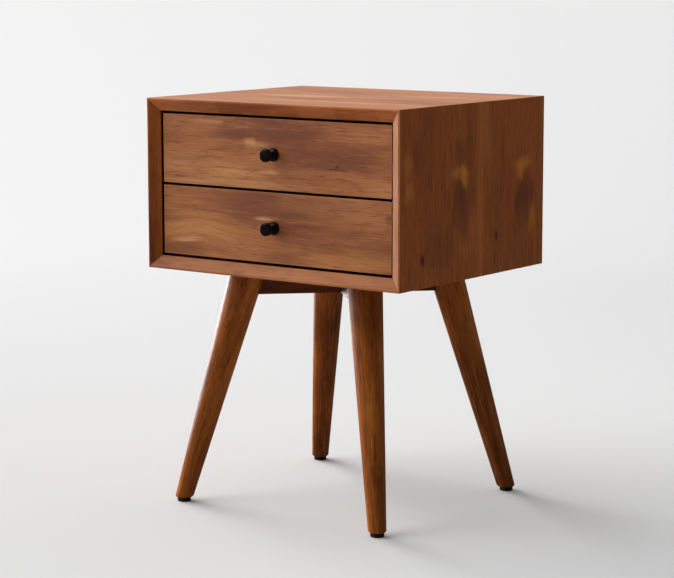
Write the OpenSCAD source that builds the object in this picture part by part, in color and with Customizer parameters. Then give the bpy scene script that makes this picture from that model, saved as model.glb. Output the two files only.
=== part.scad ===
// Two-drawer bedside cabinet: a mitred box with a bevelled front edge, standing on four splayed
// round legs that are tied together by two diagonal rails.
//
// Millimetres, +Z up. The front faces -Y. The origin is on the floor, in the middle of the
// whole outline, knobs included.

/* [Case] */
// Width of the case
case_w = 457.2; // [380:0.1:600]
// Depth of the case, without the knobs
case_d = 381; // [310:0.1:480]
// Height of the case
case_h = 254; // [205:0.1:320]
// Height of the underside of the case above the floor
base_h = 355.6; // [280:0.1:450]
// Thickness of the four case panels
panel_t = 19; // [15:0.5:25]
// Flat strip along the outer edge of the front
front_land = 3; // [1.5:0.1:6]
// How far the bevel of the front edge runs back into the case
bevel_depth = 10; // [4:0.5:12]
// Thickness of the back panel
back_t = 6; // [4:0.5:9]
// Width of the rebate that holds the back panel
back_lap = 8; // [7:0.5:9]

/* [Corner splines] */
// Thickness of the spline in each mitre
spline_t = 4; // [3:0.5:5]
// Width of the spline, half of it in each panel
spline_w = 12; // [8:0.5:14]
// Distance of the spline from the two outer faces
spline_inset = 12; // [11:0.5:13]
// Distance that the spline stays away from the front and back edges
spline_stop = 25; // [20:1:60]

/* [Drawer fronts] */
// Thickness of a drawer front
front_t = 18; // [14:0.5:22]
// How far the drawer fronts stand behind the front edge of the case
front_recess = 12; // [12:0.5:16]
// Gap above, between and below the drawer fronts
gap_z = 3.5; // [2:0.1:5]
// Gap at each end of a drawer front
gap_x = 2.5; // [1.5:0.1:5]

/* [Drawer boxes] */
// Thickness of the box sides, front and back
box_t = 12; // [10:0.5:15]
// Distance from the lower edge of the front up to the box
box_up = 10; // [6:0.5:16]
// Distance from the top of the box up to the upper edge of the front
box_down = 14; // [6:0.5:20]
// Space left between the box and the back panel
box_back_gap = 42; // [10:1:80]
// Fingers in each corner joint of a box
box_fingers = 7; // [5:2:9]
// Thickness of the box bottom
bottom_t = 5; // [3:0.5:7]
// Distance from the lower edge of the box up to its bottom panel
bottom_up = 8; // [6:0.5:12]
// Depth of the groove that holds the box bottom
groove_depth = 6; // [4:0.5:7]

/* [Drawer slides] */
// Thickness of a slide, from the case side to the drawer box
slide_space = 12.7; // [12:0.1:15]
// Height of the case member
slide_h = 45; // [37:0.5:54]
// Steel thickness of the slide members
slide_steel = 1.2; // [1:0.1:1.4]
// Distance from the back of the drawer front to the end of the slide
slide_setback = 3; // [1:0.5:10]
// Space between the webs of the case member and the middle member
slide_nest = 1.2; // [1.2:0.1:1.6]
// How far the lips of the case member stop short of the drawer box
lip_short = 3.1; // [3:0.1:4]
// Diameter of the balls
ball_d = 2.6; // [2.2:0.1:2.8]
// Length of a ball cage
cage_len = 120; // [80:5:140]
// Balls in one row of a cage
cage_balls = 6; // [3:1:8]

/* [Knobs] */
// How far a knob stands out from the drawer front
knob_len = 22; // [16:0.5:30]
// Diameter of the knob head
knob_head_d = 19.6; // [16:0.1:28]
// Thickness of the knob head
knob_head_t = 6.5; // [5:0.5:9]
// Rounding of the front rim of the knob head
knob_round = 2.2; // [0.5:0.1:2.5]
// Diameter of the knob neck
knob_neck_d = 9; // [7:0.5:12]
// Diameter of the knob foot
knob_foot_d = 19.6; // [16:0.1:28]
// Thickness of the knob foot
knob_foot_t = 3; // [2:0.5:5]

/* [Legs and rails] */
// Diameter of a leg where it meets the case, square to the leg
leg_top_d = 52.4; // [43:0.1:63]
// Diameter of a leg at floor level, square to the leg
leg_foot_d = 26; // [22:0.1:32]
// Distance from the side of the case in to the centre of a foot
foot_inset_x = 48; // [35:0.5:70]
// Distance from the front or back of the case in to the centre of a foot
foot_inset_y = 16.5; // [8:0.5:40]
// How far a leg leans out sideways from top to foot
leg_run_x = 74; // [55:0.5:90]
// How far a leg leans out to the front or back from top to foot
leg_run_y = 71.5; // [55:0.5:90]
// Chamfer around the end of a leg
foot_chamfer = 3; // [1:0.5:3.5]
// Height of a diagonal rail
rail_h = 40; // [36:0.5:50]
// Thickness of a diagonal rail
rail_t = 22; // [18:0.5:26]
// Height of the rail tenon
tenon_h = 26; // [18:0.5:28]
// Thickness of the rail tenon
tenon_t = 10; // [7:0.5:12]
// Distance from the axis of the leg back to the end of the tenon
tenon_short = 5; // [4:0.5:10]
// Diameter of a glide
glide_d = 20; // [16:0.5:22]
// Thickness of a glide
glide_t = 6; // [5:0.5:9]

/* [Fasteners] */
// Diameter of the screws that hold the rails to the case
base_screw_d = 5; // [4:0.5:6]
// Depth of the counterbore under a rail
base_sink = 22; // [15:0.5:26]
// Distance from the middle of a rail to its inner screws
base_screw_in = 45; // [30:1:60]
// Distance from the middle of a rail to its outer screws
base_screw_out = 95; // [75:1:100]
// Distance from the centre of a leg top out to its screw
leg_screw_out = 10; // [9:0.5:14]
// Length of the screw inside a leg
leg_screw_grip = 32; // [20:1:45]
// Diameter of the screws in the back panel
back_screw_d = 3; // [2.5:0.1:3.5]
// Length of the screws in the back panel
back_grip = 16; // [12:1:20]
// Distance from a corner of the case to the nearest back panel screws
back_screw_in = 60; // [45:1:80]
// Diameter of the screws through the slides
slide_screw_d = 3.5; // [3:0.1:4]
// Distance from each end of a slide to its end screws
slide_screw_end = 35; // [20:1:60]
// Diameter of the screws that hold a drawer front to its box
front_screw_d = 4; // [3.5:0.1:4.5]
// Distance from the ends of the box to those screws
front_screw_in = 60; // [40:1:90]
// Diameter of the knob screw
knob_screw_d = 4; // [3:0.5:5]
// Depth of the threaded hole in a knob
knob_hole = 12; // [8:0.5:14]
// Thread left empty at the end of the hole in a knob
knob_spare = 2; // [1:0.5:3]
// Wood left in front of the point of a screw
screw_skin = 4; // [3:0.5:6]

/* [Clearances] */
// Play around a tenon, a spline and a panel in its groove
wood_play = 0.1; // [0.05:0.05:0.3]
// Play around a screw or nail
screw_play = 0.05; // [0.02:0.01:0.1]
// Play on each side of a ball
ball_play = 0.3; // [0.2:0.05:0.4]

/* [Hidden] */
$fn = 64;

// Colours of the materials
wood = "#8b5230";
leg_wood = "#7d4527";
box_wood = "#c9a27a";
ply = "#b98f63";
black_metal = "#1d1a18";
black_plastic = "#111111";
zinc = "#b9bcc0";

// The case. Its front edge lies behind the origin by half of what the knobs stand proud.
knob_proud = knob_len - front_recess;
case_front = (knob_proud - case_d) / 2;
case_back = case_front + case_d;
case_mid = (case_front + case_back) / 2;
case_top = base_h + case_h;
open_w = case_w - 2 * panel_t;
open_h = case_h - 2 * panel_t;

// Drawer fronts: the opening less three gaps, shared by two fronts
front_w = open_w - 2 * gap_x;
front_h = (open_h - 3 * gap_z) / 2;
front_y = case_front + front_recess;
lower_z = base_h + panel_t + gap_z;
upper_z = lower_z + front_h + gap_z;

// Drawer boxes
box_w = open_w - 2 * slide_space;
box_h = front_h - box_up - box_down;
box_y = front_y + front_t;
box_len = case_back - back_t - box_back_gap - box_y;
finger_h = box_h / box_fingers;
box_in_w = box_w - 2 * box_t;
box_in_len = box_len - 2 * box_t;
groove_play = 2 * wood_play;

// Slides: the members nest from the case member in to the drawer member
slide_y = box_y + slide_setback;
slide_len = box_len - slide_setback;
slide_z = box_up + box_h / 2;
case_lip = slide_h / 2 - slide_steel;
outer_row = case_lip - ball_d / 2 - ball_play;
middle_half = outer_row - ball_d / 2 - ball_play;
middle_lip = middle_half - slide_steel;
inner_row = middle_lip - ball_d / 2 - ball_play;
drawer_half = inner_row - ball_d / 2 - ball_play;
middle_u = slide_steel + slide_nest;
lip_u = slide_space - lip_short;
drawer_u = middle_u + 2 * slide_steel;
outer_row_u = (middle_u + lip_u) / 2;
inner_row_u = (drawer_u + lip_u) / 2;
cage_t = 1;
cage_half_w = 2;

// Slide screws: a low head that clears the next member
slide_head_d = 7;
slide_head_h = 0.8;
case_screw_grip = panel_t - screw_skin - slide_steel;
box_screw_grip = box_t - screw_skin;

// Legs lean out along the diagonals from their tops under the case
foot_x = case_w / 2 - foot_inset_x;
foot_y = case_d / 2 - foot_inset_y;
leg_top_x = foot_x - leg_run_x;
leg_top_y = foot_y - leg_run_y;
leg_run = norm([leg_run_x, leg_run_y]);
leg_len = norm([leg_run, base_h]);
leg_tilt = atan2(leg_run, base_h);
leg_turn = atan2(-leg_run_y, -leg_run_x);
leg_over = 14;
leg_taper = (leg_top_d - leg_foot_d) / 2 / leg_len;
glide_lean = glide_t / base_h;
glide_x = foot_x - leg_run_x * glide_lean;
glide_y = foot_y - leg_run_y * glide_lean;

// Rails run between the leg axes at the middle of the rail's height
rail_lean = (base_h - rail_h / 2) / base_h;
rail_end_x = foot_x - leg_run_x * rail_lean;
rail_end_y = foot_y - leg_run_y * rail_lean;
rail_half = norm([rail_end_x, rail_end_y]);
rail_turn = atan2(rail_end_y, rail_end_x);
rail_z = base_h - rail_h;
tenon_end = rail_half - tenon_short;
tenon_root = 20;

// Screw lengths and heads
base_grip = rail_h - base_sink + panel_t - screw_skin;
front_grip = box_t + front_t - screw_skin;
knob_grip = box_t + front_t + knob_hole - knob_spare;
base_head_d = 9.5;
base_head_h = 3.5;
sink_d = base_head_d + 1.5;
leg_screw_head_d = 9.5;
leg_screw_head_h = 3;
back_head_d = 2 * back_screw_d;
back_head_h = back_screw_d / 2;
front_head_d = 2 * front_screw_d;
front_head_h = 2.4;
knob_head_screw_d = 8.5;
nail_d = 2.4;
nail_head_d = 6;
nail_head_h = 1.2;
nail_sink = 2;
nail_grip = 18;
cross_w = 0.9;
cross_share = 0.55;
point_share = 0.25;

// ---------------------------------------------------------------- shared shapes

// A shank along +Z that ends in a blunt point.
module shank(d, grip) {
    cylinder(d = d, h = grip - d);
    translate([0, 0, grip - d]) cylinder(d1 = d, d2 = d * point_share, h = d);
}

// The cross recess in a screw head whose top lies at z = 0.
module cross_recess(head_d, head_h) {
    len = head_d * cross_share;
    deep = head_h * cross_share;
    for (turn = [0, 90]) rotate([0, 0, turn]) translate([-len / 2, -cross_w / 2, -1])
        cube([len, cross_w, deep + 1]);
}

// A screw along +Z: its head stands below z = 0 and its shank runs up from there.
module pan_screw(d, grip, head_d, head_h) {
    difference() {
        union() {
            translate([0, 0, -head_h]) cylinder(d = head_d, h = head_h);
            shank(d, grip);
        }
        translate([0, 0, -head_h]) cross_recess(head_d, head_h);
    }
}

// A countersunk screw along +Z: the flat of its head lies at z = 0 and it runs up from there.
module flat_screw(d, grip, head_d, head_h) {
    difference() {
        union() {
            cylinder(d1 = head_d, d2 = d, h = head_h);
            shank(d, grip);
        }
        cross_recess(head_d, head_h);
    }
}

// The hole for a screw along +Z, with play all round and at its point.
module screw_hole(d, grip) {
    translate([0, 0, -1]) cylinder(d = d + 2 * screw_play, h = grip + 1 + screw_play);
}

// The countersink for a flat screw along +Z.
module countersink(d, head_d, head_h) {
    cylinder(d1 = head_d + 2 * screw_play, d2 = d + 2 * screw_play, h = head_h);
    translate([0, 0, -1]) cylinder(d = head_d + 2 * screw_play, h = 1);
}

// Moves the shape for the back right corner of the base to any of its four corners.
module at_corner(sx, sy) {
    translate([0, case_mid, 0]) mirror([sx < 0 ? 1 : 0, 0, 0]) mirror([0, sy < 0 ? 1 : 0, 0])
        children();
}

// Moves the shape for the right-hand side to the left or leaves it on the right.
module on_side(sx) {
    mirror([sx < 0 ? 1 : 0, 0, 0]) children();
}

// ---------------------------------------------------------------- case

// One spline, with its width across the mitre and its length along the depth of the case.
module spline(play = 0) {
    t = spline_t + 2 * play;
    w = spline_w + 2 * play;
    len = case_d - 2 * spline_stop + 2 * play;
    rotate([0, 45, 0]) translate([-w / 2, spline_stop - play, -t / 2]) cube([w, len, t]);
}

// A case panel lying flat, its outer face up at z = 0 and its front edge at y = 0. The front
// edge has a flat strip and then a bevel down to the inner face, the back edge has the rebate
// for the back panel, and both ends are mitred and slotted for a spline.
module case_panel(len) {
    difference() {
        intersection() {
            translate([-len / 2, 0, 0]) rotate([90, 0, 90]) linear_extrude(len) polygon([
                [0, 0], [0, -front_land], [bevel_depth, -panel_t],
                [case_d - back_t, -panel_t], [case_d - back_t, back_lap - panel_t],
                [case_d, back_lap - panel_t], [case_d, 0],
            ]);
            translate([0, case_d, 0]) rotate([90, 0, 0]) linear_extrude(case_d) polygon([
                [-len / 2, 0], [len / 2, 0],
                [len / 2 - panel_t, -panel_t], [panel_t - len / 2, -panel_t],
            ]);
        }
        for (sx = [-1, 1]) on_side(sx)
            translate([len / 2 - spline_inset, 0, -spline_inset]) spline(wood_play);
    }
}

// Screws along the middle of the rebate: three in the top and bottom, two in each side.
module back_screw_places() {
    half_w = case_w / 2 - panel_t + back_lap / 2;
    half_h = case_h / 2 - panel_t + back_lap / 2;
    far_x = case_w / 2 - back_screw_in;
    far_z = case_h / 2 - back_screw_in;
    translate([0, case_back, base_h + case_h / 2]) {
        for (sz = [-1, 1], x = [-far_x, 0, far_x]) translate([x, 0, sz * half_h]) rotate([90, 0, 0])
            children();
        for (sx = [-1, 1], z = [-far_z, far_z]) translate([sx * half_w, 0, z]) rotate([90, 0, 0])
            children();
    }
}

module back_screw_holes() {
    back_screw_places() screw_hole(back_screw_d, back_grip);
}

module case_side_holes() {
    for (z = [lower_z, upper_z]) slide_screw_places(z) rotate([0, 90, 0])
        translate([0, 0, -slide_steel]) screw_hole(slide_screw_d, slide_steel + case_screw_grip);
}

module top_panel() {
    color(wood) difference() {
        translate([0, case_front, case_top]) case_panel(case_w);
        back_screw_holes();
    }
}

module bottom_panel() {
    color(wood) difference() {
        translate([0, case_front, base_h]) mirror([0, 0, 1]) case_panel(case_w);
        back_screw_holes();
        base_screw_places() screw_hole(base_screw_d, base_grip);
        leg_screw_places() {
            screw_hole(base_screw_d, panel_t + leg_screw_grip);
            countersink(base_screw_d, leg_screw_head_d, leg_screw_head_h);
        }
    }
}

module case_side(sx) {
    color(wood) difference() {
        on_side(sx) translate([case_w / 2, case_front, base_h + case_h / 2])
            rotate([0, 90, 0]) case_panel(case_h);
        back_screw_holes();
        on_side(sx) case_side_holes();
    }
}

module left_side() { case_side(-1); }
module right_side() { case_side(1); }

// The back panel fills the rebate, flush with the back edges of the case.
module back_panel() {
    w = open_w + 2 * back_lap - 2 * wood_play;
    h = open_h + 2 * back_lap - 2 * wood_play;
    color(ply) difference() {
        translate([-w / 2, case_back - back_t, base_h + case_h / 2 - h / 2]) cube([w, back_t, h]);
        back_screw_places() {
            screw_hole(back_screw_d, back_grip);
            countersink(back_screw_d, back_head_d, back_head_h);
        }
    }
}

module back_panel_screws() {
    color(zinc) back_screw_places() flat_screw(back_screw_d, back_grip, back_head_d, back_head_h);
}

module corner_splines() {
    color(ply) for (sx = [-1, 1], sz = [-1, 1])
        translate([0, case_front, base_h + case_h / 2]) on_side(sx) mirror([0, 0, sz < 0 ? 1 : 0])
            translate([case_w / 2 - spline_inset, 0, case_h / 2 - spline_inset]) spline();
}

// ---------------------------------------------------------------- base

// The tapered round of the leg at the back right, longer than the leg at both ends.
module leg_round(play = 0) {
    low = leg_foot_d / 2 - leg_taper * leg_over + play;
    high = leg_top_d / 2 + leg_taper * leg_over + play;
    translate([foot_x, foot_y, 0]) rotate([0, leg_tilt, leg_turn]) translate([0, 0, -leg_over])
        cylinder(r1 = low, r2 = high, h = leg_len + 2 * leg_over);
}

// The tenon on the end of a rail, reaching into the leg at the back right.
module tenon(play = 0) {
    t = tenon_t + 2 * play;
    h = tenon_h + 2 * play;
    start = tenon_end - leg_top_d / 2 - tenon_root;
    rotate([0, 0, rail_turn]) translate([start, -t / 2, rail_z + (rail_h - h) / 2])
        cube([tenon_end + play - start, t, h]);
}

// A leg is cut level under the case and over the glide, and chamfered round its foot.
module leg(sx, sy) {
    tip = leg_foot_d / 2 - foot_chamfer;
    color(leg_wood) difference() {
        at_corner(sx, sy) difference() {
            intersection() {
                leg_round();
                translate([0, 0, glide_t]) cube([case_w, case_d, base_h - glide_t]);
                translate([glide_x, glide_y, glide_t])
                    cylinder(r1 = tip, r2 = tip + base_h, h = base_h);
            }
            tenon(wood_play);
            translate([glide_x, glide_y, glide_t]) screw_hole(nail_d, nail_grip);
        }
        leg_screw_places() screw_hole(base_screw_d, panel_t + leg_screw_grip);
    }
}

module leg_front_left() { leg(-1, -1); }
module leg_front_right() { leg(1, -1); }
module leg_back_left() { leg(-1, 1); }
module leg_back_right() { leg(1, 1); }

// Half of the lap where the two rails cross: the block that the other rail fills.
module crossing(turn, low) {
    half = rail_h / 2;
    rotate([0, 0, turn]) translate([-rail_t, -rail_t / 2 - wood_play, rail_z + (low ? -1 : half)])
        cube([2 * rail_t, rail_t + 2 * wood_play, half + 1]);
}

// A rail runs from the leg at the front on one side to the leg at the back on the other. Its
// ends are scribed to the legs and carry a tenon each. The rails are halved where they cross.
module diagonal_rail(sx, low) {
    turn = -sx * rail_turn;
    color(leg_wood) difference() {
        union() {
            difference() {
                translate([0, case_mid, 0]) rotate([0, 0, turn])
                    translate([-rail_half, -rail_t / 2, rail_z]) cube([2 * rail_half, rail_t, rail_h]);
                at_corner(sx, -1) leg_round(wood_play);
                at_corner(-sx, 1) leg_round(wood_play);
            }
            at_corner(sx, -1) tenon();
            at_corner(-sx, 1) tenon();
        }
        translate([0, case_mid, 0]) crossing(-turn, low);
        base_screw_places() {
            screw_hole(base_screw_d, base_grip);
            translate([0, 0, -base_sink - 1]) cylinder(d = sink_d, h = base_sink + 1);
        }
    }
}

module diagonal_rail_left() { diagonal_rail(-1, true); }
module diagonal_rail_right() { diagonal_rail(1, false); }

// Screws up through the rails into the case, their heads on the floor of the counterbores.
module base_screw_places() {
    for (turn = [-rail_turn, rail_turn], side = [-1, 1], r = [base_screw_in, base_screw_out])
        translate([0, case_mid, rail_z + base_sink]) rotate([0, 0, turn])
            translate([side * r, 0, 0]) children();
}

module base_screws() {
    color(zinc) base_screw_places() pan_screw(base_screw_d, base_grip, base_head_d, base_head_h);
}

// Screws down through the case bottom into the tops of the legs, outside the tenons.
module leg_screw_places() {
    for (sx = [-1, 1], sy = [-1, 1]) at_corner(sx, sy)
        translate([leg_top_x + leg_screw_out * leg_run_x / leg_run,
                   leg_top_y + leg_screw_out * leg_run_y / leg_run, base_h + panel_t])
            mirror([0, 0, 1]) children();
}

module leg_screws() {
    color(zinc) leg_screw_places()
        flat_screw(base_screw_d, panel_t + leg_screw_grip, leg_screw_head_d, leg_screw_head_h);
}

// A glide is a plastic disc nailed up into the foot, with its lower edge eased.
module glide(sx, sy) {
    ease = 1;
    color(black_plastic) at_corner(sx, sy) translate([glide_x, glide_y, 0]) difference() {
        union() {
            cylinder(d1 = glide_d - 2 * ease, d2 = glide_d, h = ease);
            translate([0, 0, ease]) cylinder(d = glide_d, h = glide_t - ease);
        }
        translate([0, 0, -1]) cylinder(d = nail_head_d + 2 * screw_play, h = nail_sink + nail_head_h + 1);
        cylinder(d = nail_d + 2 * screw_play, h = glide_t + 1);
    }
}

module glide_front_left() { glide(-1, -1); }
module glide_front_right() { glide(1, -1); }
module glide_back_left() { glide(-1, 1); }
module glide_back_right() { glide(1, 1); }

module glide_nails() {
    neck = glide_t - nail_sink - nail_head_h + nail_grip;
    color(zinc) for (sx = [-1, 1], sy = [-1, 1]) at_corner(sx, sy)
        translate([glide_x, glide_y, nail_sink]) {
            cylinder(d = nail_head_d, h = nail_head_h);
            translate([0, 0, nail_head_h]) shank(nail_d, neck);
        }
}

// ---------------------------------------------------------------- drawer slides

// Places a shape drawn with x from the case side inwards, y along the slide and z from the
// middle of its height, for the slide on the right-hand side of the drawer at height z.
module at_slide(z, sx) {
    on_side(sx) translate([open_w / 2, slide_y, z + slide_z]) mirror([1, 0, 0]) children();
}

// A channel along the slide: a web from web_u and two lips, outside height 2 * half.
module channel(half, web_u, lip_from, lip_to) {
    translate([web_u, 0, -half]) cube([slide_steel, slide_len, 2 * half]);
    for (z = [-half, half - slide_steel]) translate([lip_from, 0, z])
        cube([lip_to - lip_from, slide_len, slide_steel]);
}

module slide_screw_rows() {
    for (y = [slide_screw_end, slide_len / 2, slide_len - slide_screw_end]) translate([0, y, 0])
        children();
}

// The screws of both case members of the drawer at height z, on the right-hand side only.
module slide_screw_places(z) {
    translate([open_w / 2, slide_y, z + slide_z]) slide_screw_rows() children();
}

module case_member(z, sx) {
    color(zinc) at_slide(z, sx) difference() {
        channel(slide_h / 2, 0, 0, lip_u);
        slide_screw_rows() translate([slide_steel, 0, 0]) rotate([0, -90, 0])
            screw_hole(slide_screw_d, 2 * slide_steel);
    }
}

module middle_member(z, sx) {
    color(zinc) at_slide(z, sx) channel(middle_half, middle_u, middle_u, lip_u + slide_steel);
}

module drawer_member(z, sx) {
    color(zinc) at_slide(z, sx) difference() {
        channel(drawer_half, slide_space - slide_steel, drawer_u, slide_space);
        slide_screw_rows() translate([slide_space - slide_steel, 0, 0]) rotate([0, 90, 0])
            screw_hole(slide_screw_d, 2 * slide_steel);
    }
}

module case_member_screws(z) {
    color(zinc) for (sx = [-1, 1]) at_slide(z, sx) slide_screw_rows()
        translate([slide_steel, 0, 0]) rotate([0, -90, 0])
            pan_screw(slide_screw_d, slide_steel + case_screw_grip, slide_head_d, slide_head_h);
}

module drawer_member_screws(z) {
    color(zinc) for (sx = [-1, 1]) at_slide(z, sx) slide_screw_rows()
        translate([slide_space - slide_steel, 0, 0]) rotate([0, 90, 0])
            pan_screw(slide_screw_d, slide_steel + box_screw_grip, slide_head_d, slide_head_h);
}

// One cage is a thin strip with a row of balls, above or below the member that it carries.
module ball_cage(row, row_u) {
    pitch = cage_len / cage_balls;
    translate([row_u - cage_half_w, (slide_len - cage_len) / 2, row - cage_t / 2])
        cube([2 * cage_half_w, cage_len, cage_t]);
    for (i = [0 : cage_balls - 1])
        translate([row_u, (slide_len - cage_len) / 2 + (i + 0.5) * pitch, row]) sphere(d = ball_d);
}

module ball_cages(z, row, row_u) {
    color(zinc) for (sx = [-1, 1], sz = [-1, 1]) at_slide(z, sx) ball_cage(sz * row, row_u);
}

module upper_slide_left_case() { case_member(upper_z, -1); }
module upper_slide_right_case() { case_member(upper_z, 1); }
module upper_case_member_screws() { case_member_screws(upper_z); }
module upper_slide_left_middle() { middle_member(upper_z, -1); }
module upper_slide_right_middle() { middle_member(upper_z, 1); }
module upper_outer_ball_cages() { ball_cages(upper_z, outer_row, outer_row_u); }
module upper_inner_ball_cages() { ball_cages(upper_z, inner_row, inner_row_u); }
module upper_slide_left_drawer() { drawer_member(upper_z, -1); }
module upper_slide_right_drawer() { drawer_member(upper_z, 1); }
module upper_drawer_member_screws() { drawer_member_screws(upper_z); }

module lower_slide_left_case() { case_member(lower_z, -1); }
module lower_slide_right_case() { case_member(lower_z, 1); }
module lower_case_member_screws() { case_member_screws(lower_z); }
module lower_slide_left_middle() { middle_member(lower_z, -1); }
module lower_slide_right_middle() { middle_member(lower_z, 1); }
module lower_outer_ball_cages() { ball_cages(lower_z, outer_row, outer_row_u); }
module lower_inner_ball_cages() { ball_cages(lower_z, inner_row, inner_row_u); }
module lower_slide_left_drawer() { drawer_member(lower_z, -1); }
module lower_slide_right_drawer() { drawer_member(lower_z, 1); }
module lower_drawer_member_screws() { drawer_member_screws(lower_z); }

// ---------------------------------------------------------------- drawers

// Screws from inside the box into the drawer front, in two rows.
module front_screw_places(z) {
    far_x = box_w / 2 - front_screw_in;
    mid_z = z + box_up + box_h / 2;
    for (x = [-far_x, far_x], sz = [-1, 1])
        translate([x, box_y + box_t, mid_z + sz * box_h / 4]) rotate([90, 0, 0]) children();
}

// The knob screw runs through the box front and the drawer front into the knob.
module knob_screw_place(z) {
    translate([0, box_y + box_t, z + front_h / 2]) rotate([90, 0, 0]) children();
}

module drawer_front(z) {
    color(wood) difference() {
        translate([-front_w / 2, front_y, z]) cube([front_w, front_t, front_h]);
        front_screw_places(z) screw_hole(front_screw_d, front_grip);
        knob_screw_place(z) screw_hole(knob_screw_d, knob_grip);
    }
}

// Every other finger at a box corner, cut from the corner at the origin to the given depths.
module fingers(first, deep_x, deep_y) {
    for (i = [first : 2 : box_fingers - 1]) translate([-1, -1, i * finger_h])
        cube([deep_x + 1, deep_y + 1, finger_h]);
}

// A flat block on the lower face of the grooves, reaching deep into the walls on all sides.
module bottom_block(z, deep, thick) {
    w = box_in_w + 2 * deep;
    len = box_in_len + 2 * deep;
    translate([-w / 2, box_y + box_t - deep, z + box_up + bottom_up]) cube([w, len, thick]);
}

module bottom_groove(z) {
    bottom_block(z, groove_depth, bottom_t + wood_play);
}

module box_side(z, sx) {
    color(box_wood) difference() {
        on_side(sx) translate([box_w / 2, box_y, z + box_up]) mirror([1, 0, 0]) difference() {
            cube([box_t, box_len, box_h]);
            fingers(1, box_t + 1, box_t);
            translate([0, box_len, 0]) mirror([0, 1, 0]) fingers(1, box_t + 1, box_t);
        }
        bottom_groove(z);
        at_slide(z, sx) slide_screw_rows() translate([slide_space, 0, 0]) rotate([0, 90, 0])
            screw_hole(slide_screw_d, box_screw_grip);
    }
}

// The front or back wall of a box, its outer face at y = 0 and its inner face at y = box_t.
module box_wall() {
    difference() {
        translate([-box_w / 2, 0, 0]) cube([box_w, box_t, box_h]);
        for (sx = [-1, 1]) on_side(sx) translate([box_w / 2, 0, 0]) mirror([1, 0, 0])
            fingers(0, box_t, box_t + 1);
    }
}

module box_front(z) {
    color(box_wood) difference() {
        translate([0, box_y, z + box_up]) box_wall();
        bottom_groove(z);
        front_screw_places(z) screw_hole(front_screw_d, front_grip);
        knob_screw_place(z) screw_hole(knob_screw_d, knob_grip);
    }
}

module box_back(z) {
    color(box_wood) difference() {
        translate([0, box_y + box_len, z + box_up]) mirror([0, 1, 0]) box_wall();
        bottom_groove(z);
    }
}

module box_bottom(z) {
    color(ply) bottom_block(z, groove_depth - groove_play, bottom_t);
}

module front_screws(z) {
    color(zinc) front_screw_places(z) pan_screw(front_screw_d, front_grip, front_head_d, front_head_h);
}

// A turned knob along +Z: foot, neck and a head with a rounded rim, and a hole from the back.
module knob(z) {
    head_r = knob_head_d / 2;
    foot_r = knob_foot_d / 2;
    foot_ease = 1;
    back_ease = 1.2;
    color(black_metal) translate([0, front_y, z + front_h / 2]) rotate([90, 0, 0]) difference() {
        rotate_extrude($fn = 96) {
            square([foot_r, knob_foot_t - foot_ease]);
            square([foot_r - foot_ease, knob_foot_t]);
            translate([foot_r - foot_ease, knob_foot_t - foot_ease]) circle(r = foot_ease, $fn = 48);
            square([knob_neck_d / 2, knob_len - knob_head_t / 2]);
            translate([0, knob_len - knob_head_t]) {
                translate([0, back_ease]) square([head_r, knob_head_t - back_ease - knob_round]);
                polygon([[0, 0], [head_r - back_ease, 0], [head_r, back_ease], [0, back_ease]]);
                square([head_r - knob_round, knob_head_t]);
                translate([head_r - knob_round, knob_head_t - knob_round]) circle(r = knob_round, $fn = 48);
            }
        }
        translate([0, 0, -1]) cylinder(d = knob_screw_d + 2 * screw_play, h = knob_hole + 1);
    }
}

module knob_screw(z) {
    color(zinc) knob_screw_place(z)
        pan_screw(knob_screw_d, knob_grip, knob_head_screw_d, front_head_h);
}

module upper_drawer_front() { drawer_front(upper_z); }
module upper_box_front() { box_front(upper_z); }
module upper_box_left() { box_side(upper_z, -1); }
module upper_box_right() { box_side(upper_z, 1); }
module upper_box_back() { box_back(upper_z); }
module upper_box_bottom() { box_bottom(upper_z); }
module upper_front_screws() { front_screws(upper_z); }
module upper_knob() { knob(upper_z); }
module upper_knob_screw() { knob_screw(upper_z); }

module lower_drawer_front() { drawer_front(lower_z); }
module lower_box_front() { box_front(lower_z); }
module lower_box_left() { box_side(lower_z, -1); }
module lower_box_right() { box_side(lower_z, 1); }
module lower_box_back() { box_back(lower_z); }
module lower_box_bottom() { box_bottom(lower_z); }
module lower_front_screws() { front_screws(lower_z); }
module lower_knob() { knob(lower_z); }
module lower_knob_screw() { knob_screw(lower_z); }

top_panel();
bottom_panel();
left_side();
right_side();
back_panel();
corner_splines();
back_panel_screws();
diagonal_rail_left();
diagonal_rail_right();
leg_front_left();
leg_front_right();
leg_back_left();
leg_back_right();
glide_front_left();
glide_front_right();
glide_back_left();
glide_back_right();
glide_nails();
base_screws();
leg_screws();
upper_slide_left_case();
upper_slide_right_case();
upper_case_member_screws();
upper_slide_left_middle();
upper_slide_right_middle();
upper_outer_ball_cages();
upper_inner_ball_cages();
upper_slide_left_drawer();
upper_slide_right_drawer();
upper_drawer_member_screws();
upper_drawer_front();
upper_box_front();
upper_box_left();
upper_box_right();
upper_box_back();
upper_box_bottom();
upper_front_screws();
upper_knob();
upper_knob_screw();
lower_slide_left_case();
lower_slide_right_case();
lower_case_member_screws();
lower_slide_left_middle();
lower_slide_right_middle();
lower_outer_ball_cages();
lower_inner_ball_cages();
lower_slide_left_drawer();
lower_slide_right_drawer();
lower_drawer_member_screws();
lower_drawer_front();
lower_box_front();
lower_box_left();
lower_box_right();
lower_box_back();
lower_box_bottom();
lower_front_screws();
lower_knob();
lower_knob_screw();
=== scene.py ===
"""Looks of the two-drawer nightstand: stained acacia case and fronts, round splayed legs, black knobs.

Metres, +Z up, the front faces -Y. Every piece lies where the CAD node that it stands for lies.
"""
import math

import bmesh
import bpy
from mathutils import Euler, Matrix, Vector


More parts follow.
